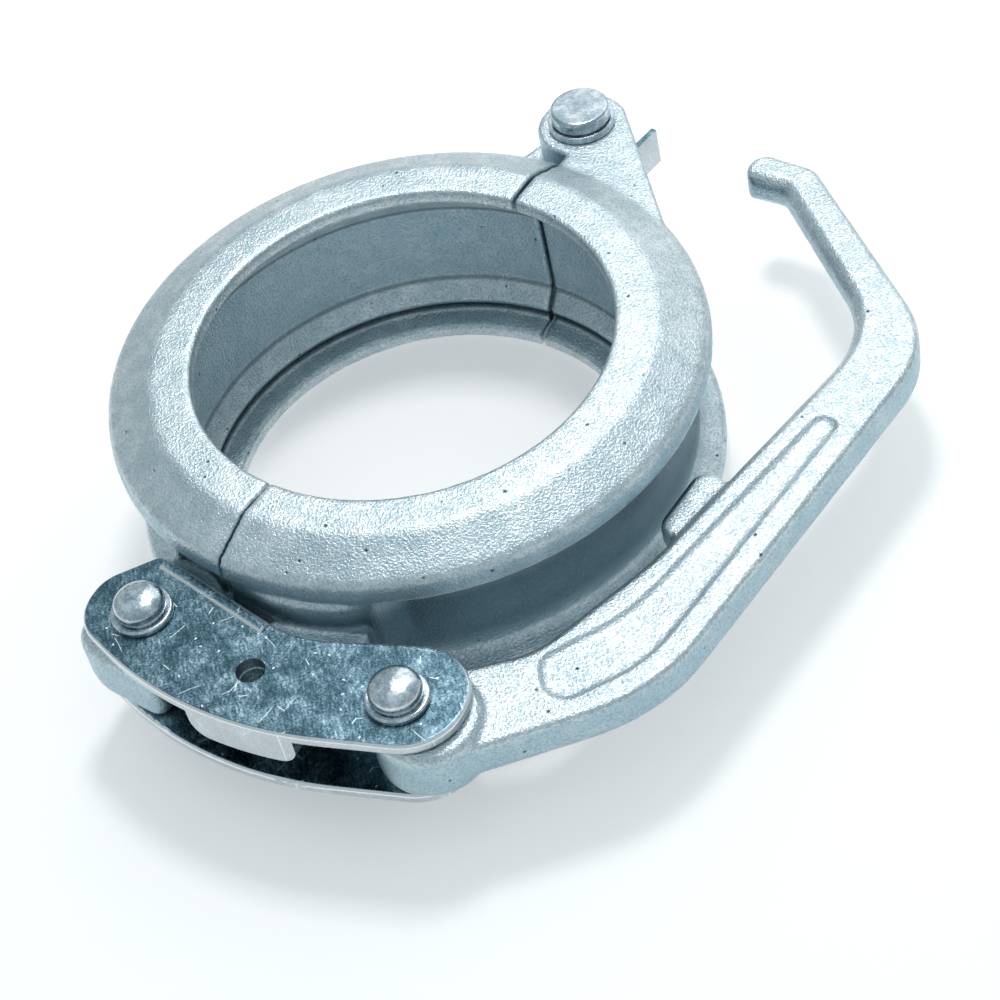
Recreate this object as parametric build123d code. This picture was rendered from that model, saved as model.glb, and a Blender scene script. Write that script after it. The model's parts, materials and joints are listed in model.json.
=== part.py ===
from build123d import *
from math import cos, radians, sin
import os

# Quick-release clamp for five-inch concrete pipe, closed and lying flat.
# Millimetres and degrees. Z is the axis of the ring, z = 0 is the ring's middle plane,
# and azimuths run from +X towards +Y.

# Ring section
bore_radius = 67.0
ring_width = 67.0
lip_width = 5.2
lip_edge_radius = 1.4
lip_ledge_height = 9.4
lip_ledge_offset = 6.4
shoulder_height = 7.2
shoulder_offset = 10.6
groove_depth = 12.0
groove_offset = 17.6
web_thickness = 9.0
end_face_width = 13.5
flange_height = 8.5
flange_thickness = 17.0
rim_edge_offset = 7.0
rim_lower_offset = 14.5
rim_edge_radius = 4.0
crown_radius = 9.0

# Where the ring is split
hinge_seam_azimuth = 47.8
latch_seam_azimuth = -135.0
hinge_seam_half_angle = 0.5
latch_seam_half_angle = 0.25

# Hinge
hinge_pin_outside_rim = 18.3
hinge_pin_azimuth = 49.0
hinge_boss_radius = 15.2
hinge_tongue_radius = 14.6
hinge_lug_inset = 6.0
hinge_side_gap = 0.4
hinge_flare_sweep = 27.0
hinge_neck_sweep = 8.0
hinge_shank_radius = 8.0
hinge_head_radius = 10.0
hinge_head_height = 4.2
hinge_groove_radius = 9.0
hinge_groove_height = 0.6
hinge_washer_radius = 11.3
hinge_washer_thickness = 2.5
hinge_rivet_radius = 9.6
hinge_rivet_height = 3.2

# Sheet ear beside the hinge
ear_outside_rim = 30.2
ear_azimuth = 39.3
ear_facing = 40.0
ear_length = 9.0
ear_height = 13.5
ear_thickness = 2.0
ear_top = 22.5

# Latch pins and the plates that link them
shell_pin_outside_rim = 19.6
shell_pin_azimuth = -143.8
lever_pin_outside_rim = 30.6
lever_pin_azimuth = -100.9
plate_inner_height = 9.7
plate_thickness = 4.0
plate_shell_end = [
    (-7.8, -21.6, 3.0),
    (-19.9, -7.1, 13.0),
    (-19.9, 9.5, 15.5),
    (34.3, 31.5, 125.0),
]
plate_lever_end = [
    (19.8, 12.0, 18.0),
    (19.8, -27.2, 18.0),
    (-40.5, -8.5, 40.0),
]
plate_edge_radius = 1.2
tab_depth = 9.2
tab_thickness = 4.0
tab_start = 30.5
tab_length = 36.0
tab_corner_radius = 6.0
lock_hole_radius = 4.5
lock_hole_along = -46.5
lock_hole_outward = 6.6
pin_shank_radius = 6.5
pin_head_radius = 8.0
pin_head_height = 5.5
pin_head_edge_radius = 2.2
pin_groove_radius = 7.2
pin_groove_height = 0.6
pin_collar_radius = 9.7
pin_collar_thickness = 2.2

# Clearances
pin_running_gap = 0.15
pin_seat_gap = 0.03
latch_side_gap = 0.4

# Lug on the left shell, round the shell pin
shell_lug_corners = [
    (-152.0, -25.0, 0),
    (-152.3, 36.5, 10.0),
    (-146.0, 38.5, 20.0),
    (-136.0, 36.6, 4.0),
    (-136.4, -25.0, 0),
]
shell_lug_edge_radius = 3.0
shell_gusset_start = -151.8
shell_gusset_inset = 2.5
shell_gusset_scoop_radius = 25.0
lug_edge_radius = 2.0

# Lever knuckle and nose, placed from the lever pin along the line of the two pins
knuckle_radius = 16.9
knuckle_along = 7.6
knuckle_outward = -0.8
knuckle_edge_radius = 3.5
nose_reach = 24.5
nose_half_width = 5.0
nose_corner_radius = 3.5

# Seat lug on the right shell, which the nose bears against
seat_gap = 0.3
seat_side_gap = 3.6
seat_wall_height = 3.0
seat_floor_end = -21.2
seat_root = -27.0
seat_crest_end = -39.0
seat_boss_radius = 7.2

# Lever arm: corners as azimuth, distance outside the rim, corner radius
arm_half_thickness = 6.5
arm_edge_radius = 2.2
arm_inner_edge_radius = 6.9
arm_inner_edge_rise = 0.5
arm_outer_corners = [
    (-96.7, 48.5, 0),
    (-71.0, 50.6, 60.0),
    (-11.2, 67.1, 38.0),
    (22.2, 62.3, 7.0),
    (30.1, 54.9, 6.0),
    (28.3, 42.6, 6.0),
]
arm_inner_corners = [
    (22.4, 49.0, 5.0),
    (-7.2, 48.0, 38.0),
    (-57.9, 8.8, 80.0),
    (-81.8, 16.4, 25.0),
    (-98.2, 15.1, 8.0),
]
panel_depth = 1.5
panel_slope = 40.0
panel_corners = [
    (-83.7, 40.3, 8.0),
    (-69.7, 40.0, 45.0),
    (-24.1, 39.4, 3.5),
    (-22.4, 32.2, 3.5),
    (-66.8, 20.4, 60.0),
    (-81.7, 20.7, 6.5),
]
stop_half_thickness = 4.5
stop_radius = 6.0
stop_ends = [(-48.4, 6.4), (-39.7, 6.3)]

# Worked-out sizes
half_width = ring_width / 2
groove_radius = bore_radius + groove_depth
web_radius = groove_radius + web_thickness
rim_radius = web_radius + flange_height
lug_root_radius = groove_radius + web_thickness / 2
hinge_lug_half_height = half_width - hinge_lug_inset
hinge_slot_half_height = half_width - flange_thickness
lug_half_height = plate_inner_height - latch_side_gap
plate_outer_height = plate_inner_height + plate_thickness
collar_top = plate_outer_height + pin_collar_thickness
pin_head_base = collar_top + pin_groove_height


def polar(radius, azimuth):
    return Vector(radius * cos(radians(azimuth)), radius * sin(radians(azimuth)))


def outside_rim(azimuth, distance):
    return polar(rim_radius + distance, azimuth)


hinge_axis = outside_rim(hinge_pin_azimuth, hinge_pin_outside_rim)
shell_pin = outside_rim(shell_pin_azimuth, shell_pin_outside_rim)
lever_pin = outside_rim(lever_pin_azimuth, lever_pin_outside_rim)
pin_line = (lever_pin - shell_pin).normalized()
pin_line_outward = Vector(pin_line.Y, -pin_line.X)
pin_spacing = (lever_pin - shell_pin).length


def from_lever_pin(along, outward):
    """A point placed along the line of the latch pins and outward from it."""
    return lever_pin + pin_line * along + pin_line_outward * outward


def prism(face, bottom, top):
    return Pos(0, 0, bottom) * extrude(face, amount=top - bottom)


def disc(centre, radius, bottom, top):
    return prism(Pos(centre) * Circle(radius), bottom, top)


def joined_discs(first, first_radius, second, second_radius):
    """The face that wraps two round discs."""
    ends = Pos(first) * Circle(first_radius) + Pos(second) * Circle(second_radius)
    return make_hull(ends.edges())


def outline(corners):
    """A closed face from corner points, each with its own radius."""
    points = [point for point, radius in corners]
    radii = [radius for point, radius in corners]
    return make_face(FilletPolyline(*points, radius=radii, close=True))


def rim_outline(corners):
    return outline([(outside_rim(azimuth, distance), radius) for azimuth, distance, radius in corners])


def ring_section():
    """The half of the cross-section above the middle plane, mirrored below it."""
    upper = [
        (groove_radius, groove_offset, 4.0),
        (bore_radius + shoulder_height, shoulder_offset, 0.8),
        (bore_radius + lip_ledge_height, lip_ledge_offset, 0.5),
        (bore_radius, lip_width, 0.9),
        (bore_radius, 0, lip_edge_radius),
        (bore_radius + end_face_width, 0, crown_radius),
        (rim_radius - 1.0, rim_edge_offset, rim_edge_radius),
        (rim_radius, rim_lower_offset, 2.5),
        (web_radius, flange_thickness, 3.0),
    ]
    top = [(Vector(radius, half_width - offset), corner) for radius, offset, corner in upper]
    bottom = [(Vector(point.X, -point.Y), corner) for point, corner in reversed(top)]
    return Plane.XZ * outline(top + bottom)


def ring_arc(start, stop):
    return Rot(0, 0, start) * revolve(ring_section(), axis=Axis.Z, revolution_arc=stop - start)


def wedge(start, stop):
    """A flat sector from the ring's axis, wide enough to trim any lug."""
    reach = 3 * rim_radius
    middle = (start + stop) / 2
    return make_face(Polyline(Vector(0, 0), polar(reach, start), polar(reach, middle), polar(reach, stop), close=True))


def hinge_lug(boss_radius, foot_azimuth, trim):
    """A lug round the hinge pin that flares into the ring on one side of the seam."""
    foot = polar(rim_radius - boss_radius, foot_azimuth)
    flare = joined_discs(hinge_axis, boss_radius, foot, boss_radius) & trim
    lug = flare + Pos(hinge_axis) * Circle(boss_radius)
    return lug - Circle(lug_root_radius)


def right_shell():
    start = latch_seam_azimuth + latch_seam_half_angle
    stop = hinge_seam_azimuth - hinge_seam_half_angle
    shell = ring_arc(start, stop)
    fork = fork_plan()
    for bottom in (hinge_slot_half_height, -hinge_lug_half_height):
        shell += prism(fork, bottom, bottom + hinge_lug_half_height - hinge_slot_half_height)
    shell += seat_lug()
    shell -= disc(hinge_axis, hinge_shank_radius + pin_seat_gap, -half_width, half_width)
    return shell


def fork_plan():
    stop = hinge_seam_azimuth - hinge_seam_half_angle
    return hinge_lug(hinge_boss_radius, hinge_pin_azimuth - hinge_flare_sweep, wedge(stop - 90, stop))


def seat_lug():
    """The lug between the plates, with the pocket for the lever's nose and the lock-pin hole."""
    floor = -nose_half_width - seat_gap
    wall = -nose_reach - seat_side_gap
    crest = floor + seat_wall_height
    root = -lever_pin.length + lug_root_radius
    corners = [
        (from_lever_pin(seat_root, root), 0),
        (from_lever_pin(seat_floor_end, floor), 1.0),
        (from_lever_pin(wall, floor), 0.8),
        (from_lever_pin(wall, crest), 0.8),
        (from_lever_pin(seat_crest_end, crest), 2.0),
        (from_lever_pin(lock_hole_along, lock_hole_outward), 0),
        (from_lever_pin(lock_hole_along - seat_boss_radius, 0), 0),
        (from_lever_pin(lock_hole_along - seat_boss_radius, root), 0),
    ]
    lock_hole = from_lever_pin(lock_hole_along, lock_hole_outward)
    boss = joined_discs(lock_hole, seat_boss_radius, from_lever_pin(lock_hole_along, root), seat_boss_radius)
    plan = outline(corners) + boss
    plan -= Circle(lug_root_radius)
    lug = prism(plan, -lug_half_height, lug_half_height)
    return lug - disc(lock_hole, lock_hole_radius, -half_width, half_width)


def left_shell():
    start = hinge_seam_azimuth + hinge_seam_half_angle
    stop = latch_seam_azimuth + 360 - latch_seam_half_angle
    shell = ring_arc(start, stop)
    tongue = hinge_lug(hinge_tongue_radius, hinge_pin_azimuth + hinge_neck_sweep, wedge(start, start + 90))
    tongue_half_height = hinge_slot_half_height - hinge_side_gap
    shell += prism(tongue, -tongue_half_height, tongue_half_height)
    shell += shell_lug() + shell_gusset(stop)
    shell -= disc(hinge_axis, hinge_shank_radius + pin_running_gap, -half_width, half_width)
    shell -= disc(shell_pin, pin_shank_radius + pin_running_gap, -half_width, half_width)
    return shell


def shell_lug():
    """The lug between the plates at the shell pin."""
    lug = prism(rim_outline(shell_lug_corners), -lug_half_height, lug_half_height)
    lug = fillet(lug.edges().filter_by(Plane.XY), shell_lug_edge_radius)
    return lug - disc(Vector(0, 0), lug_root_radius, -half_width, half_width)


def shell_gusset(stop):
    """The web beside that lug, thick up to both flanges, scooped out for the ends of the plates."""
    plan = Circle(rim_radius - shell_gusset_inset) & wedge(shell_gusset_start + 360, stop)
    plan -= Circle(lug_root_radius)
    plan -= Pos(shell_pin) * Circle(shell_gusset_scoop_radius)
    return prism(plan, rim_lower_offset - half_width, half_width - rim_lower_offset)


def plate_face():
    """The kidney outline, its corners placed from the two pins along the line between them."""
    shell_end = [(from_lever_pin(along - pin_spacing, outward), corner) for along, outward, corner in plate_shell_end]
    lever_end = [(from_lever_pin(along, outward), corner) for along, outward, corner in plate_lever_end]
    return outline(shell_end + lever_end)


def link_plate():
    """The lower plate, at its height; the upper one is its mirror image with a tab."""
    plate = prism(plate_face(), plate_inner_height, plate_outer_height)
    plate = fillet(plate.edges().filter_by(Plane.XY), plate_edge_radius)
    for pin in (shell_pin, lever_pin):
        plate -= disc(pin, pin_shank_radius + pin_seat_gap, 0, half_width)
    lock_hole = from_lever_pin(lock_hole_along, lock_hole_outward)
    return plate - disc(lock_hole, lock_hole_radius, 0, half_width)


def upper_link_plate():
    return link_plate() + plate_tab()


def plate_tab():
    """The tab bent down from the outer edge of the upper plate."""
    plan = plate_face() - Pos(pin_line_outward * -tab_thickness) * plate_face()
    rim = prism(plan, plate_inner_height - tab_depth, plate_inner_height + plate_thickness / 2)
    middle = from_lever_pin(tab_start + tab_length / 2 - pin_spacing, 0)
    side_on = Plane(middle + Vector(0, 0, plate_inner_height), x_dir=pin_line, z_dir=pin_line_outward)
    window = extrude(side_on * RectangleRounded(tab_length, 2 * tab_depth, tab_corner_radius), amount=rim_radius)
    return rim & window


def lower_link_plate():
    return mirror(link_plate(), about=Plane.XY)


def lever():
    """The handle, its knuckle between the plates, and the nose that bears on the right shell."""
    arm = lever_arm()
    panel = extrude(rim_outline(panel_corners), amount=panel_depth, taper=panel_slope)
    panel = Pos(0, 0, arm_half_thickness) * mirror(panel, about=Plane.XY)
    arm -= panel
    arm -= mirror(panel, about=Plane.XY)
    knuckle = disc(from_lever_pin(knuckle_along, knuckle_outward), knuckle_radius, -lug_half_height, lug_half_height)
    nose = prism(nose_face(), -lug_half_height, lug_half_height)
    body = arm + fillet(knuckle.edges(), knuckle_edge_radius) + nose + stop_nub()
    return body - disc(lever_pin, pin_shank_radius + pin_running_gap, -half_width, half_width)


def lever_arm():
    """The arm, its edge towards the ring rounder than its outer edge."""
    arm = prism(rim_outline(arm_outer_corners + arm_inner_corners), -arm_half_thickness, arm_half_thickness)
    arm = fillet(arm.edges().filter_by(Plane.XY), arm_edge_radius)
    hook_end = outside_rim(*arm_outer_corners[-1][:2])
    hook_root = outside_rim(*arm_inner_corners[0][:2])
    past_hook = hook_root + (hook_end - hook_root) * 4
    far_side = [(outside_rim(azimuth, distance) * 2, 0) for azimuth, distance, corner in arm_outer_corners[:4]]
    far_side += [(past_hook * 2, 0), (past_hook, 0)]
    near_side = [
        (outside_rim(azimuth, distance - arm_inner_edge_rise), corner)
        for azimuth, distance, corner in arm_inner_corners
    ]
    reach = arm_half_thickness + arm_inner_edge_rise
    rounded = prism(outline(far_side + near_side), -reach, reach)
    return arm & fillet(rounded.edges().filter_by(Plane.XY), arm_inner_edge_radius)


def nose_face():
    return outline([
        (from_lever_pin(-nose_reach, nose_half_width), nose_corner_radius),
        (from_lever_pin(-nose_reach, -nose_half_width), nose_corner_radius),
        (from_lever_pin(0, -nose_half_width), 0),
        (from_lever_pin(0, nose_half_width), 0),
    ])


def stop_nub():
    first, last = [outside_rim(azimuth, distance) for azimuth, distance in stop_ends]
    face = joined_discs(first, stop_radius, last, stop_radius)
    nub = prism(face, -stop_half_thickness, stop_half_thickness)
    return fillet(nub.edges().filter_by(Plane.XY), lug_edge_radius)


def headed_pin(centre, shank_radius, heads):
    """A round pin with a head at each end: each head is its side, base, groove, radius, height."""
    pin = None
    for side, base, groove_radius_here, groove_height, head_radius, head_height, edge_radius in heads:
        neck = disc(Vector(0, 0), groove_radius_here, base, base + groove_height)
        head = disc(Vector(0, 0), head_radius, base + groove_height, base + groove_height + head_height)
        top_edge = head.edges().sort_by(Axis.Z)[-1]
        end = disc(Vector(0, 0), shank_radius, 0, base) + neck + fillet(top_edge, edge_radius)
        if side < 0:
            end = mirror(end, about=Plane.XY)
        pin = end if pin is None else pin + end
    return Pos(centre) * pin


def hinge_pin():
    seat = hinge_lug_half_height + hinge_washer_thickness
    return headed_pin(hinge_axis, hinge_shank_radius, [
        (1, seat, hinge_groove_radius, hinge_groove_height, hinge_head_radius, hinge_head_height, 1.2),
        (-1, seat, hinge_groove_radius, 0.2, hinge_rivet_radius, hinge_rivet_height, 2.0),
    ])


def latch_pin(centre):
    ends = [
        (side, collar_top, pin_groove_radius, pin_groove_height, pin_head_radius, pin_head_height, pin_head_edge_radius)
        for side in (1, -1)
    ]
    return headed_pin(centre, pin_shank_radius, ends)


def ring_washer(centre, hole_radius, radius, bottom, top, edge_radius):
    washer = disc(centre, radius, bottom, top)
    washer = fillet(washer.edges(), edge_radius)
    return washer - disc(centre, hole_radius, bottom - 1, top + 1)


def hinge_washer(side):
    low, high = sorted((side * hinge_lug_half_height, side * (hinge_lug_half_height + hinge_washer_thickness)))
    return ring_washer(hinge_axis, hinge_shank_radius + pin_seat_gap, hinge_washer_radius, low, high, 0.5)


def pin_collar(centre, side):
    low, high = sorted((side * plate_outer_height, side * collar_top))
    return ring_washer(centre, pin_shank_radius + pin_seat_gap, pin_collar_radius, low, high, 0.8)


def side_ear():
    """The small sheet ear welded to the side of the hinge lug, cut to the lug's wall."""
    outer_end = outside_rim(ear_azimuth, ear_outside_rim)
    length = ear_length + hinge_boss_radius
    middle = outer_end - polar(length / 2, ear_facing)
    sheet = Pos(middle.X, middle.Y, ear_top - ear_height / 2) * Rot(0, 0, ear_facing)
    sheet = sheet * Box(length, ear_thickness, ear_height)
    return (sheet - prism(fork_plan(), -half_width, half_width)).solids().sort_by_distance(outer_end)[0]


nodes = {
    "left_shell": left_shell(),
    "right_shell": right_shell(),
    "hinge_pin": hinge_pin(),
    "hinge_washer_top": hinge_washer(1),
    "hinge_washer_bottom": hinge_washer(-1),
    "side_ear": side_ear(),
    "upper_link_plate": upper_link_plate(),
    "lower_link_plate": lower_link_plate(),
    "shell_link_pin": latch_pin(shell_pin),
    "shell_pin_collar_top": pin_collar(shell_pin, 1),
    "shell_pin_collar_bottom": pin_collar(shell_pin, -1),
    "lever_link_pin": latch_pin(lever_pin),
    "lever_pin_collar_top": pin_collar(lever_pin, 1),
    "lever_pin_collar_bottom": pin_collar(lever_pin, -1),
    "lever": lever(),
}

os.makedirs("parts", exist_ok=True)
for name, shape in nodes.items():
    export_step(shape, f"parts/{name}.step")
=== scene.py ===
import json
import math

import bpy
from mathutils import Matrix, Vector

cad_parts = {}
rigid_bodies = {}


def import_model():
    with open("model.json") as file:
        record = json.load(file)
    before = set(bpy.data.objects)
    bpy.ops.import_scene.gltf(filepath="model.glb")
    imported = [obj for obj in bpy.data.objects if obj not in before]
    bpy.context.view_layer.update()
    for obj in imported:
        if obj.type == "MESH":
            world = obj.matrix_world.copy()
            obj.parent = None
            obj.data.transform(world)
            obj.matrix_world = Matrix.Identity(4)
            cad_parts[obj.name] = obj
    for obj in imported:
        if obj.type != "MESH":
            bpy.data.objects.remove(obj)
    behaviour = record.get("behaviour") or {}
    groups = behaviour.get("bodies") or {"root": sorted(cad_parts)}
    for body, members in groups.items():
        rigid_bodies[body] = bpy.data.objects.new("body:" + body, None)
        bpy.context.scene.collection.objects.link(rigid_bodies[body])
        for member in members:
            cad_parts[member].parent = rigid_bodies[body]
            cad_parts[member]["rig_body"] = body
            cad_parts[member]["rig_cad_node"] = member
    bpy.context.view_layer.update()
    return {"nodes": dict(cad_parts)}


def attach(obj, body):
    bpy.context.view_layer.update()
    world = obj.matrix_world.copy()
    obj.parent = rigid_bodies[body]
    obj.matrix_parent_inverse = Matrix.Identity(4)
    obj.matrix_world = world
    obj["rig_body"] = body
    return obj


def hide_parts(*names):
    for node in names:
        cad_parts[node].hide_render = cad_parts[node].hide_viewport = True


# A quick-release clamp for concrete pipe, lying closed on a pale floor.
# The frame is in metres, with the ring's middle plane at z = 0.
MM = 0.001

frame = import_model()
scene = bpy.context.scene


# Camera: it looks down along +Y from the front, and is rolled a little about its own axis
CAMERA_PLACE = Vector((17.76, -594.02, 583.23)) * MM
CAMERA_DOWN = math.radians(46.806)
CAMERA_ROLL = math.radians(14.145)
CAMERA_LENS = 93.6

bpy.ops.object.camera_add()
camera = bpy.context.object
camera.name = "camera"
turn = Matrix.Rotation(math.pi / 2 - CAMERA_DOWN, 4, "X") @ Matrix.Rotation(-CAMERA_ROLL, 4, "Z")
camera.matrix_world = Matrix.Translation(CAMERA_PLACE) @ turn
camera.data.lens = CAMERA_LENS
camera.data.sensor_width = 36.0
camera.data.clip_start = 0.05
camera.data.clip_end = 20.0
scene.camera = camera


def linear(code):
    """An sRGB hex colour as linear red, green, blue and alpha."""
    values = [int(code[i:i + 2], 16) / 255 for i in (1, 3, 5)]
    return [v / 12.92 if v <= 0.04045 else ((v + 0.055) / 1.055) ** 2.4 for v in values] + [1.0]


def add_node(material, kind, sockets=None, **settings):
    """Adds a node, with its settings, and sets or links each of its input sockets."""
    node = material.node_tree.nodes.new(kind)
    for name, value in settings.items():
        setattr(node, name, value)
    for name, value in (sockets or {}).items():
        if isinstance(value, bpy.types.NodeSocket):
            material.node_tree.links.new(value, node.inputs[name])
        else:
            node.inputs[name].default_value = value
    return node


def blank_material(name):
    material = bpy.data.materials.new(name)
    material.use_nodes = True
    material.node_tree.nodes.clear()
    return material


def per_mm(size):
    """The scale of a pattern whose features are this many millimetres across."""
    return 1000.0 / size


def ramp(material, factor, stops):
    """A colour ramp from a list of positions and hex colours."""
    node = add_node(material, "ShaderNodeValToRGB", {"Fac": factor})
    elements = node.color_ramp.elements
    while len(elements) < len(stops):
        elements.new(0.5)
    for element, (position, code) in zip(elements, stops):
        element.position = position
        element.color = linear(code)
    return node.outputs["Color"]


def level(material, value, low, high, out_low, out_high, smooth=True):
    """Maps a value from one span to another, and stops at the ends."""
    node = add_node(
        material, "ShaderNodeMapRange",
        {"Value": value, "From Min": low, "From Max": high, "To Min": out_low, "To Max": out_high},
        interpolation_type="SMOOTHSTEP" if smooth else "LINEAR",
    )
    return node.outputs["Result"]


def blend_colours(material, factor, first, second):
    """The first colour at factor 0, the second at 1; each is a socket or a linear colour."""
    node = add_node(material, "ShaderNodeMix", {"Factor": factor}, data_type="RGBA")
    colour_a, colour_b, colour_out = 6, 7, 2
    for index, value in ((colour_a, first), (colour_b, second)):
        if isinstance(value, bpy.types.NodeSocket):
            material.node_tree.links.new(value, node.inputs[index])
        else:
            node.inputs[index].default_value = value
    return node.outputs[colour_out]


def math_node(material, operation, *values):
    node = add_node(material, "ShaderNodeMath", dict(enumerate(values)), operation=operation)
    return node.outputs[0]


def sum_of(material, first, second, scale=1.0):
    """The first value times the scale, plus the second."""
    return math_node(material, "MULTIPLY_ADD", first, scale, second)


def product(material, first, *others):
    total = first
    for value in others:
        total = math_node(material, "MULTIPLY", total, value)
    return total


def band(material, value, rise_from, rise_to, fall_from, fall_to):
    """1 between rise_to and fall_from, fading to 0 outside them; all four in millimetres."""
    rise = level(material, value, rise_from * MM, rise_to * MM, 0.0, 1.0)
    fall = level(material, value, fall_from * MM, fall_to * MM, 1.0, 0.0)
    return product(material, rise, fall)


def object_place(material):
    return add_node(material, "ShaderNodeTexCoord").outputs["Object"]


def noise(material, place, size, detail, roughness, distortion=0.0):
    """Noise whose features are this many millimetres across."""
    node = add_node(material, "ShaderNodeTexNoise", {
        "Vector": place, "Scale": per_mm(size), "Detail": detail,
        "Roughness": roughness, "Distortion": distortion})
    return node.outputs["Fac"]


def radius_and_height(material, place):
    """How far a point lies from the ring's axis and from its middle plane."""
    apart = add_node(material, "ShaderNodeSeparateXYZ", {"Vector": place})
    flat = add_node(material, "ShaderNodeCombineXYZ", {
        "X": apart.outputs["X"], "Y": apart.outputs["Y"]})
    length = add_node(material, "ShaderNodeVectorMath", {0: flat.outputs[0]}, operation="LENGTH")
    return length.outputs["Value"], math_node(material, "ABSOLUTE", apart.outputs["Z"])


def flatness(material):
    """1 on flat tops and undersides, 0 on upright walls; turning about Z leaves it as it is."""
    normal = add_node(material, "ShaderNodeNewGeometry").outputs["Normal"]
    apart = add_node(material, "ShaderNodeSeparateXYZ", {"Vector": normal})
    return math_node(material, "ABSOLUTE", apart.outputs["Z"])


def painted_channel_shade(material, radius, height):
    """Painted shade in the ring's channels: the outer one deepens to its middle, the bore's is even.
    """
    outer = product(
        material, 0.86, band(material, radius, 83.0, 84.0, 98.2, 99.2),
        level(material, height, 7.0 * MM, 19.5 * MM, 1.0, 0.0))
    bore = product(
        material, 0.22, band(material, radius, 77.0, 78.5, 83.0, 84.0),
        level(material, height, 13.5 * MM, 16.0 * MM, 1.0, 0.0))
    return sum_of(material, outer, bore)


def painted_crease_shade(material, radius, height):
    """Painted shade in the creases: in the notches behind the bore's lips, and in a fainter
    line in the corner where the bore's groove meets the shoulder slope."""
    notch = product(
        material, 0.9, band(material, radius, 74.3, 75.4, 78.0, 79.0),
        band(material, height, 23.6, 24.6, 28.2, 29.2))
    corner = product(
        material, 0.6, band(material, radius, 76.8, 78.0, 80.0, 81.0),
        band(material, height, 14.4, 15.6, 16.0, 17.2))
    return sum_of(material, notch, corner)


def finish_metal(material, base, roughness, height, strength, distance):
    """Closes a metal with its colour, its roughness and a bump of this many millimetres."""
    bump = add_node(material, "ShaderNodeBump", {
        "Height": height, "Strength": strength, "Distance": distance * MM})
    metal = add_node(material, "ShaderNodeBsdfPrincipled", {
        "Base Color": base, "Metallic": 1.0, "Roughness": roughness,
        "Normal": bump.outputs["Normal"]})
    add_node(material, "ShaderNodeOutputMaterial", {"Surface": metal.outputs["BSDF"]})
    return material


# The castings' pattern sizes in millimetres, and the tones that lie over their zinc; the wall,
# channel and crease tones are painted shade
GRAIN, WAVES, CLOUDS, PIT_SPACING = 0.75, 7.0, 38.0, 9.0
WALL_SHADE_TONE = "#7AA5B5"
CHANNEL_SHADE_TONE = "#31515E"
CREASE_SHADE_TONE = "#1E272C"
HOLLOW_TONE = "#7496A3"
PIT_TONE = "#4E5C63"


def zinc_on_cast_iron(name, pale, grey, deep, roughness):
    """Sand-cast iron dipped in zinc: a bright, cool grey metal. The zinc softens the sand's grain
    but doesn't fill it, so the skin sparkles in small bumps, with soft waves and a few pits.
    Painted shade makes its walls, its channels and its creases darker and bluer, but little of it
    lies on the bore's lips."""
    material = blank_material(name)
    place = object_place(material)
    radius, height = radius_and_height(material, place)
    grain = noise(material, place, GRAIN, 2.0, 0.6)
    waves = noise(material, place, WAVES, 3.0, 0.55, 0.5)
    clouds = noise(material, place, CLOUDS, 3.0, 0.5)
    cells = add_node(material, "ShaderNodeTexVoronoi", {
        "Vector": place, "Scale": per_mm(PIT_SPACING), "Randomness": 1.0})
    pits = level(material, cells.outputs["Distance"], 0.02, 0.085, 1.0, 0.0)
    patches = level(material, waves, 0.38, 0.66, 0.0, 1.0)
    base = blend_colours(material, patches, linear(grey), linear(pale))
    depth = level(material, clouds, 0.30, 0.72, 0.28, 0.0)
    base = blend_colours(material, depth, base, linear(deep))
    # Painted shade: upright walls go darker and bluer by how they face, and little of it falls on
    # the bore's lips
    wall_shade_reach = level(material, radius, 71.0 * MM, 76.0 * MM, 0.1, 1.0)
    walls = level(material, flatness(material), 0.10, 0.62, 0.55, 0.0)
    walls = product(material, walls, wall_shade_reach)
    base = blend_colours(material, walls, base, linear(WALL_SHADE_TONE))
    # Painted shade in the ring's channels
    base = blend_colours(material, painted_channel_shade(material, radius, height), base, linear(CHANNEL_SHADE_TONE))
    # Painted shade in the notches behind the lips and in the groove's corner
    base = blend_colours(material, painted_crease_shade(material, radius, height), base, linear(CREASE_SHADE_TONE))
    hollows = level(material, grain, 0.32, 0.58, 0.42, 0.0)
    base = blend_colours(material, hollows, base, linear(HOLLOW_TONE))
    base = blend_colours(material, pits, base, linear(PIT_TONE))
    dull = level(material, grain, 0.35, 0.68, roughness + 0.08, roughness - 0.10)
    relief = sum_of(material, waves, grain, 0.6)
    relief = sum_of(material, pits, relief, -0.7)
    return finish_metal(material, base, dull, relief, 1.0, 0.34)


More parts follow.
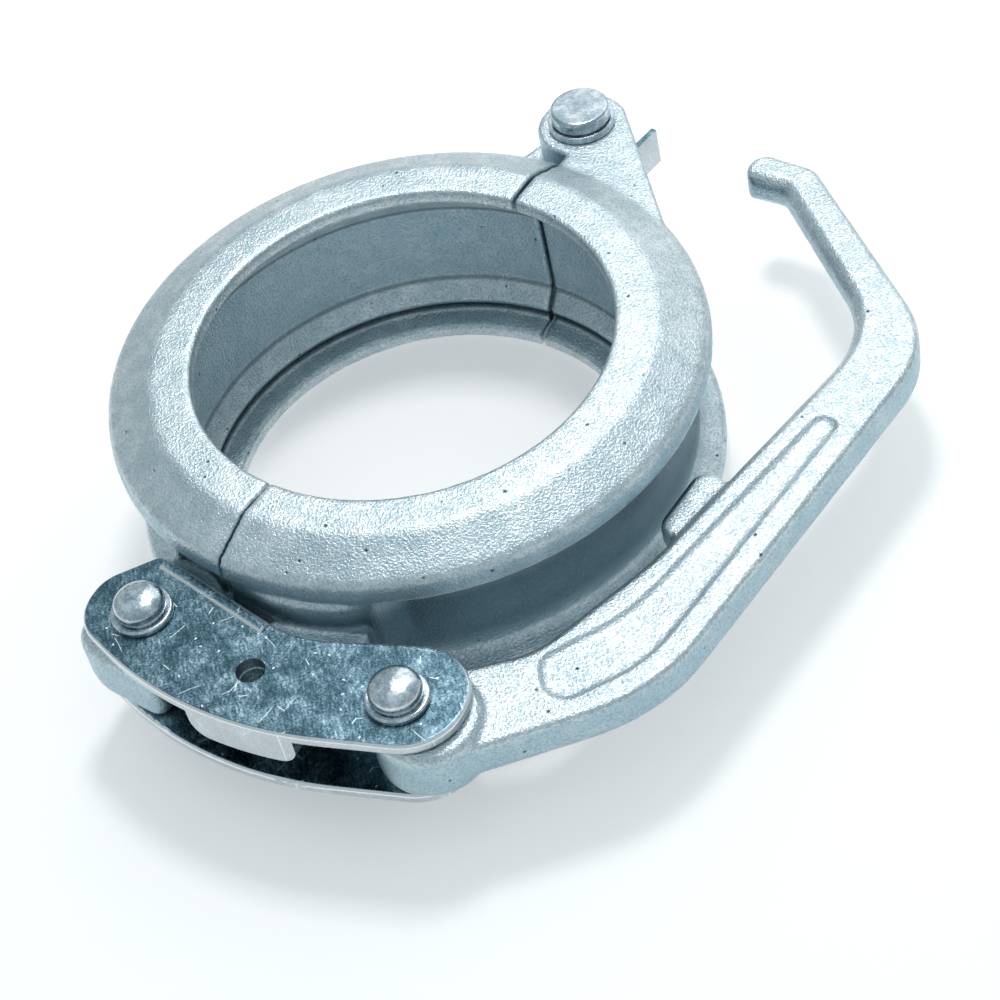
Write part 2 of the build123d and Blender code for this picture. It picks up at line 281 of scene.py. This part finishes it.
def scratches(material, place, spacing, half_length, half_width, share):
    """Short curved scratches, one at most in each cell of a loose net, each lying its own way.
    The sizes are millimetres, and the share is that of the cells with one."""
    net = add_node(material, "ShaderNodeTexVoronoi", {
        "Vector": place, "Scale": per_mm(spacing), "Randomness": 1.0}, voronoi_dimensions="2D")
    chance = add_node(material, "ShaderNodeSeparateColor", {"Color": net.outputs["Color"]})
    local = add_node(material, "ShaderNodeVectorMath", {
        0: place, 1: net.outputs["Position"]}, operation="SUBTRACT")
    angle = product(material, chance.outputs["Red"], 2 * math.pi)
    turned = add_node(material, "ShaderNodeVectorRotate", {
        "Vector": local.outputs["Vector"], "Angle": angle}, rotation_type="Z_AXIS")
    apart = add_node(material, "ShaderNodeSeparateXYZ", {"Vector": turned.outputs["Vector"]})
    along = math_node(material, "ABSOLUTE", apart.outputs["X"])
    square = product(material, along, along)
    bend = sum_of(material, chance.outputs["Green"], -0.03 / MM, 0.06 / MM)
    offset = sum_of(material, square, apart.outputs["Y"], bend)
    across = math_node(material, "ABSOLUTE", offset)
    line = level(material, across, half_width * 0.4 * MM, half_width * MM, 1.0, 0.0)
    ends = level(material, along, half_length * 0.6 * MM, half_length * MM, 1.0, 0.0)
    drawn = level(material, chance.outputs["Blue"], share, share - 0.05, 0.0, 1.0)
    return product(material, line, ends, drawn)


# The sheet: sizes of its patterns in mm, and its scratches with spacing of the net, half length
# and half width in mm, and the share of cells with one
SHEET_PATCHES, SHEET_SPECKLE, SHEET_STREAKS = 8.0, 0.65, 0.9
SHEET_SCRATCHES = [(15.0, 4.0, 0.14, 0.40), (9.0, 1.7, 0.20, 0.35), (6.0, 0.5, 0.34, 0.30)]
SHEET_TONES = [(0.40, "#48626E"), (0.50, "#627F8C"), (0.57, "#89A5B1"), (0.66, "#D3E1E6")]


def zinc_plated_sheet(name):
    """Rolled steel sheet, cut and zinc plated: smoother and darker than the castings, a fine
    speckled blue-grey in cloudy patches, with a few white scratches and nicks that lie all ways.
    Its cut edges and their rounded corners carry a painted highlight."""
    material = blank_material(name)
    place = object_place(material)
    patches = noise(material, place, SHEET_PATCHES, 3.0, 0.55, 0.6)
    speckle = noise(material, place, SHEET_SPECKLE, 2.0, 0.6)
    rolled = add_node(material, "ShaderNodeMapping", {
        "Vector": place, "Rotation": (0.0, 0.0, math.radians(52.0)), "Scale": (1.0, 0.35, 1.0)})
    streaks = noise(material, rolled.outputs["Vector"], SHEET_STREAKS, 2.0, 0.5)
    tone = sum_of(material, patches, product(material, speckle, 0.37), 0.36)
    tone = sum_of(material, streaks, tone, 0.27)
    base = ramp(material, tone, SHEET_TONES)
    marks = scratches(material, place, *SHEET_SCRATCHES[0])
    for sizes in SHEET_SCRATCHES[1:]:
        marks = math_node(material, "MAXIMUM", marks, scratches(material, place, *sizes))
    # Painted highlight on the cut edges, strongest where they round over into the faces
    facing = flatness(material)
    rim = level(material, facing, 0.88, 0.99, 1.0, 0.0)
    bright = level(material, facing, 0.05, 0.40, 0.55, 0.95)
    base = blend_colours(material, product(material, rim, bright), base, linear("#F2F5F6"))
    base = blend_colours(material, marks, base, linear("#F2F6F7"))
    shine = level(material, tone, 0.40, 0.62, 0.26, 0.40)
    scuffed = sum_of(material, marks, shine, 0.20)
    relief = sum_of(material, marks, speckle, -0.8)
    return finish_metal(material, base, scuffed, relief, 0.45, 0.07)


# The pins: sizes of their patterns in mm, and their tones
PIN_CLOUDS, PIN_SPECKLE = 4.5, 0.8
PIN_TONES = [(0.38, "#A3B4BE"), (0.50, "#C6D1D7"), (0.60, "#E9EEF0")]


def bright_zinc_pin(name):
    """Turned steel with bright zinc: the smoothest metal here, with faint cloudy patches
    and small handling marks on heads that were pressed round."""
    material = blank_material(name)
    place = object_place(material)
    cloud = noise(material, place, PIN_CLOUDS, 3.0, 0.6, 0.4)
    fine = noise(material, place, PIN_SPECKLE, 2.0, 0.5)
    tone = sum_of(material, cloud, product(material, fine, 0.35), 0.65)
    base = ramp(material, tone, PIN_TONES)
    marks = scratches(material, place, 5.0, 1.6, 0.13, 0.40)
    base = blend_colours(material, marks, base, linear("#F0F4F5"))
    shine = level(material, tone, 0.38, 0.60, 0.20, 0.30)
    return finish_metal(material, base, shine, tone, 0.35, 0.08)


shell_zinc = zinc_on_cast_iron(
    "zinc_dipped_sand_cast_iron", pale="#EDF3F5", grey="#D6E1E5", deep="#A9BEC7", roughness=0.39)
lever_zinc = zinc_on_cast_iron(
    "zinc_dipped_lever_casting", pale="#EDF3F5", grey="#DAE4E8", deep="#B4C7CF", roughness=0.39)
sheet_zinc = zinc_plated_sheet("zinc_plated_rolled_sheet")
pin_zinc = bright_zinc_pin("bright_zinc_turned_steel")


def select_only(piece):
    bpy.ops.object.select_all(action="DESELECT")
    piece.select_set(True)
    bpy.context.view_layer.objects.active = piece


def paint(piece, material):
    piece.data.materials.clear()
    piece.data.materials.append(material)


def own_copy(node_name, piece_name):
    """A copy of a CAD node's mesh, merged, as a piece of its own."""
    select_only(frame["nodes"][node_name])
    bpy.ops.object.duplicate()
    piece = bpy.context.object
    piece.name = piece_name
    piece.parent = None
    piece.matrix_world = Matrix.Identity(4)
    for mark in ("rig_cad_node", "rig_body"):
        if mark in piece:
            del piece[mark]
    bpy.ops.object.mode_set(mode="EDIT")
    bpy.ops.mesh.select_all(action="SELECT")
    bpy.ops.mesh.remove_doubles(threshold=0.001 * MM)
    bpy.ops.object.mode_set(mode="OBJECT")
    return piece


def hand_over(piece, body, node_name):
    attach(piece, body)
    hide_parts(node_name)


def apply_all(piece):
    for name in [modifier.name for modifier in piece.modifiers]:
        bpy.ops.object.modifier_apply(modifier=name)


def span(value, low, high):
    """0 below low, 1 above high, and even between."""
    return min(1.0, max(0.0, (value - low) / (high - low)))


# Where the castings stay crisp: inside a radius, and near the two seams, which are given as
# directions from the ring's axis; in millimetres each softness grows from the first to the second
SEAM_AZIMUTHS = (47.8, -135.0)
SEAM_LINES = [Vector((math.cos(a), math.sin(a))) for a in map(math.radians, SEAM_AZIMUTHS)]
SOFT_RADIUS = (81.0, 86.0)
SOFT_FROM_SEAM = (1.2, 4.0)
CRISP = 0.3


def softness(place):
    """How far the casting's edges run soft here: little in the bore and at the two seams."""
    flat = place.to_2d()
    from_axis = flat.length / MM
    from_seam = min(abs(flat.cross(line)) for line in SEAM_LINES) / MM
    weight = min(span(from_axis, *SOFT_RADIUS), span(from_seam, *SOFT_FROM_SEAM))
    return CRISP + (1.0 - CRISP) * weight


def press_pit(piece, centre, radius, depth):
    """A small round hollow where sand or gas was caught in the casting."""
    for vertex in piece.data.vertices:
        distance = (vertex.co - centre).length
        if distance < radius:
            fall = 0.5 + 0.5 * math.cos(math.pi * distance / radius)
            vertex.co -= vertex.normal * depth * fall


def cast_skin(
        node_name, piece_name, body, material, voxel, rounding, ripple,
        extra=None, flaws=()):
    """A casting as it leaves the sand: the CAD node's own shape with its edges and corners run
    soft, and a skin that waves in and never out, so that it stays inside the node.
    The voxel, the ripple and the flaws are in millimetres, the rounding in smoothing steps."""
    piece = own_copy(node_name, piece_name)
    if extra:
        extra.select_set(True)
        bpy.ops.object.join()
    grid = piece.modifiers.new("even_mesh", "REMESH")
    grid.mode = "VOXEL"
    grid.voxel_size = voxel * MM
    apply_all(piece)
    soft_places = piece.vertex_groups.new(name="soft_places")
    for vertex in piece.data.vertices:
        soft_places.add([vertex.index], softness(vertex.co), "REPLACE")
    soft = piece.modifiers.new("soft_edges", "SMOOTH")
    soft.factor = 0.5
    soft.iterations = rounding
    soft.vertex_group = soft_places.name
    texture = bpy.data.textures.new(piece_name + "_waves", "CLOUDS")
    texture.noise_scale = 6.5 * MM
    texture.noise_depth = 2
    waves = piece.modifiers.new("sand_waves", "DISPLACE")
    waves.texture = texture
    waves.texture_coords = "LOCAL"
    waves.strength = ripple * MM
    waves.mid_level = 1.0
    waves.vertex_group = soft_places.name
    apply_all(piece)
    for centre, radius, depth in flaws:
        press_pit(piece, Vector(centre) * MM, radius * MM, depth * MM)
    bpy.ops.object.shade_smooth()
    paint(piece, material)
    hand_over(piece, body, node_name)


# The thick stretch of web: azimuths in degrees and the radius of its outer face in millimetres
FILLING = [
    (-134.6, 94.8), (-130.0, 95.6), (-125.0, 97.2), (-120.0, 97.6), (-112.0, 97.4),
    (-106.0, 95.5), (-101.0, 88.0),
]


def filling_radius(azimuth):
    for (low, low_radius), (high, high_radius) in zip(FILLING, FILLING[1:]):
        if low <= azimuth <= high:
            return low_radius + (high_radius - low_radius) * span(azimuth, low, high)
    return FILLING[-1][1]


def filled_channel():
    """The stretch of the right half's channel beside the latch, where the web is thick up to the
    rims. It is a rectangle spun about the ring's axis, its outer face then set to FILLING."""
    inner, half_height = 84.0 * MM, 18.0 * MM
    start, stop = FILLING[0][0], FILLING[-1][0]
    bpy.ops.object.select_all(action="DESELECT")
    bpy.ops.mesh.primitive_plane_add(size=1.0)
    block = bpy.context.object
    block.name = "filled_channel"
    first = Matrix.Rotation(math.radians(start), 4, "Z")
    for vertex in block.data.vertices:
        radius = inner if vertex.co.x < 0 else 2 * inner
        vertex.co = first @ Vector((radius, 0.0, math.copysign(half_height, vertex.co.y)))
    bpy.ops.object.mode_set(mode="EDIT")
    bpy.ops.mesh.select_all(action="SELECT")
    bpy.ops.mesh.spin(
        steps=48, angle=math.radians(stop - start), center=(0.0, 0.0, 0.0), axis=(0.0, 0.0, -1.0))
    bpy.ops.mesh.select_all(action="SELECT")
    bpy.ops.mesh.normals_make_consistent(inside=False)
    bpy.ops.object.mode_set(mode="OBJECT")
    for vertex in block.data.vertices:
        azimuth = math.degrees(math.atan2(vertex.co.y, vertex.co.x))
        radius = vertex.co.to_2d().length
        if radius > 1.5 * inner:
            vertex.co.x *= filling_radius(azimuth) * MM / radius
            vertex.co.y *= filling_radius(azimuth) * MM / radius
    return block


cast_skin(
    "right_shell", "right_shell_casting", "right_half", shell_zinc,
    voxel=1.0, rounding=4, ripple=0.14, extra=filled_channel(),
)
cast_skin(
    "left_shell", "left_shell_casting", "left_half", shell_zinc,
    voxel=1.0, rounding=4, ripple=0.14,
    flaws=[((-26.5, 70.2, -15.8), 2.6, 1.3), ((-44.9, 61.0, -31.9), 1.5, 1.2)],
)
cast_skin(
    "lever", "lever_casting", "handle", lever_zinc,
    voxel=0.8, rounding=7, ripple=0.16,
)


# The latch pins: where they stand, and one half of their profile as radius and height, in mm
SHELL_PIN = (-93.688092, -68.569318)
LEVER_PIN = (-24.034031, -124.806952)
LATCH_PIN_PROFILE = [
    (0.0, 22.45), (1.6, 22.38), (3.2, 22.18), (4.7, 21.84), (5.9, 21.42), (6.9, 20.78),
    (7.6, 20.0), (7.95, 19.0), (8.0, 17.9), (8.0, 17.0), (7.8, 16.55), (7.2, 16.4),
    (7.1, 15.95), (6.5, 15.9), (6.5, 0.0),
]


def turned_pin(node_name, piece_name, centre):
    """A latch pin turned from one profile: shank, neck, and a low dome pressed on each end."""
    half = [Vector((radius, 0.0, height)) * MM for radius, height in LATCH_PIN_PROFILE]
    other_half = [Vector((point.x, 0.0, -point.z)) for point in reversed(half[:-1])]
    points = half + other_half
    mesh = bpy.data.meshes.new(piece_name)
    mesh.from_pydata(points, [(i, i + 1) for i in range(len(points) - 1)], [])
    piece = bpy.data.objects.new(piece_name, mesh)
    scene.collection.objects.link(piece)
    select_only(piece)
    lathe = piece.modifiers.new("lathe", "SCREW")
    lathe.axis = "Z"
    lathe.steps = lathe.render_steps = 72
    lathe.use_merge_vertices = True
    lathe.merge_threshold = 0.01 * MM
    apply_all(piece)
    for vertex in piece.data.vertices:
        vertex.co += Vector(centre).to_3d() * MM
    bpy.ops.object.mode_set(mode="EDIT")
    bpy.ops.mesh.select_all(action="SELECT")
    bpy.ops.mesh.remove_doubles(threshold=0.001 * MM)
    bpy.ops.mesh.normals_make_consistent(inside=False)
    bpy.ops.object.mode_set(mode="OBJECT")
    bpy.ops.object.shade_smooth_by_angle(angle=math.radians(35))
    paint(piece, pin_zinc)
    hand_over(piece, "link", node_name)


turned_pin("shell_link_pin", "shell_link_pin_turned", SHELL_PIN)
turned_pin("lever_link_pin", "lever_link_pin_turned", LEVER_PIN)


# The roll on the upper plate, in mm: points along the line of the pins and out from it,
# its half width, how far it is flattened, and the height of its middle
LIP_POINTS = [
    (-4.8, -18.9), (2.0, -17.4), (12.0, -14.9), (22.0, -12.4), (31.0, -10.3), (39.0, -8.3),
]
LIP_HALF_WIDTH, LIP_FLATTENED, LIP_MIDDLE = 2.3, 0.55, 13.3


def rolled_lip():
    """The low roll along the upper plate's inner edge, from its left corner to the notch."""
    pin_line = (Vector(LEVER_PIN) - Vector(SHELL_PIN)).normalized()
    outward = Vector((pin_line.y, -pin_line.x))
    bpy.ops.object.select_all(action="DESELECT")
    bpy.ops.curve.primitive_nurbs_path_add(radius=1.0)
    piece = bpy.context.object
    piece.name = "upper_plate_rolled_lip"
    line = piece.data.splines[0]
    line.points.add(len(LIP_POINTS) - len(line.points))
    for point, (along, out) in zip(line.points, LIP_POINTS):
        place = (Vector(SHELL_PIN) + pin_line * along + outward * out) * MM
        point.co = (place.x, place.y, 0.0, 1.0)
    line.order_u = 3
    line.use_endpoint_u = True
    piece.data.bevel_depth = LIP_HALF_WIDTH * MM
    piece.data.bevel_resolution = 5
    piece.data.use_fill_caps = True
    piece.location = (0.0, 0.0, 0.0)
    bpy.ops.object.convert(target="MESH")
    piece = bpy.context.object
    for vertex in piece.data.vertices:
        vertex.co.z = vertex.co.z * LIP_FLATTENED + LIP_MIDDLE * MM
    bpy.ops.object.shade_smooth()
    paint(piece, sheet_zinc)
    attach(piece, "link")


rolled_lip()

finishes = {
    sheet_zinc: ["upper_link_plate", "lower_link_plate", "side_ear"],
    pin_zinc: [
        "hinge_pin", "hinge_washer_top", "hinge_washer_bottom",
        "shell_pin_collar_top", "shell_pin_collar_bottom",
        "lever_pin_collar_top", "lever_pin_collar_bottom",
    ],
}
for material, names in finishes.items():
    for name in names:
        select_only(frame["nodes"][name])
        paint(frame["nodes"][name], material)
        bpy.ops.object.shade_smooth_by_angle(angle=math.radians(35))


# Floor: matt white paper under the ring's lower face. The lift makes it white to the eye and in
# the metal, and gives no light to the ring
FLOOR_HEIGHT = -33.5 * MM
FLOOR_LIFT = 0.34

bpy.ops.object.select_all(action="DESELECT")
bpy.ops.mesh.primitive_plane_add(size=6.0, location=(0, 0, FLOOR_HEIGHT))
floor = bpy.context.object
floor.name = "floor"
paper = blank_material("matt_white_paper")
matt = add_node(paper, "ShaderNodeBsdfDiffuse", {"Color": linear("#F3F0EE"), "Roughness": 0.0})
lift = add_node(paper, "ShaderNodeEmission", {"Color": linear("#FFFFFF"), "Strength": FLOOR_LIFT})
both = add_node(paper, "ShaderNodeAddShader", {0: matt.outputs[0], 1: lift.outputs[0]})
rays = add_node(paper, "ShaderNodeLightPath").outputs
seen = math_node(paper, "MAXIMUM", rays["Is Camera Ray"], rays["Is Glossy Ray"])
seen = math_node(paper, "MAXIMUM", seen, rays["Is Transmission Ray"])
pick = add_node(paper, "ShaderNodeMixShader", {0: seen, 1: matt.outputs[0], 2: both.outputs[0]})
add_node(paper, "ShaderNodeOutputMaterial", {"Surface": pick.outputs[0]})
paint(floor, paper)


# Light: a soft box high behind the ring, a wide one at the back right, and a pale room
def soft_box(name, place, size, power):
    """A white lamp of this size in metres, turned towards the ring."""
    bpy.ops.object.light_add(type="AREA")
    lamp = bpy.context.object
    lamp.name = name
    place = Vector(place)
    aim = (-place).to_track_quat("-Z", "Y").to_matrix().to_4x4()
    lamp.matrix_world = Matrix.Translation(place) @ aim
    lamp.data.shape = "RECTANGLE"
    lamp.data.size, lamp.data.size_y = size
    lamp.data.energy = power


soft_box("high_soft_box", (0.15, 0.38, 1.02), (0.22, 0.22), 4.2)
soft_box("window_soft_box", (0.66, 0.94, 0.80), (1.2, 1.0), 2.65)

world = bpy.data.worlds.new("pale_room")
scene.world = world
world.use_nodes = True
world.node_tree.nodes.clear()
direction = add_node(world, "ShaderNodeTexCoord")
upward = add_node(world, "ShaderNodeSeparateXYZ", {"Vector": direction.outputs["Generated"]})
height = level(world, upward.outputs["Z"], -0.1, 1.0, 0.0, 1.0, smooth=False)
sky = ramp(world, height, [
    (0.0, "#B1B7B8"), (0.30, "#BAC3C5"), (0.70, "#AFC1C9"), (1.0, "#C5D5DC")])
room = add_node(world, "ShaderNodeBackground", {"Color": sky, "Strength": 0.9})
backdrop = add_node(world, "ShaderNodeBackground", {"Color": linear("#FFFFFF"), "Strength": 1.0})
looked_at = add_node(world, "ShaderNodeLightPath").outputs["Is Camera Ray"]
shown = add_node(world, "ShaderNodeMixShader", {
    0: looked_at, 1: room.outputs[0], 2: backdrop.outputs[0]})
add_node(world, "ShaderNodeOutputWorld", {"Surface": shown.outputs[0]})

scene.view_settings.view_transform = "Standard"
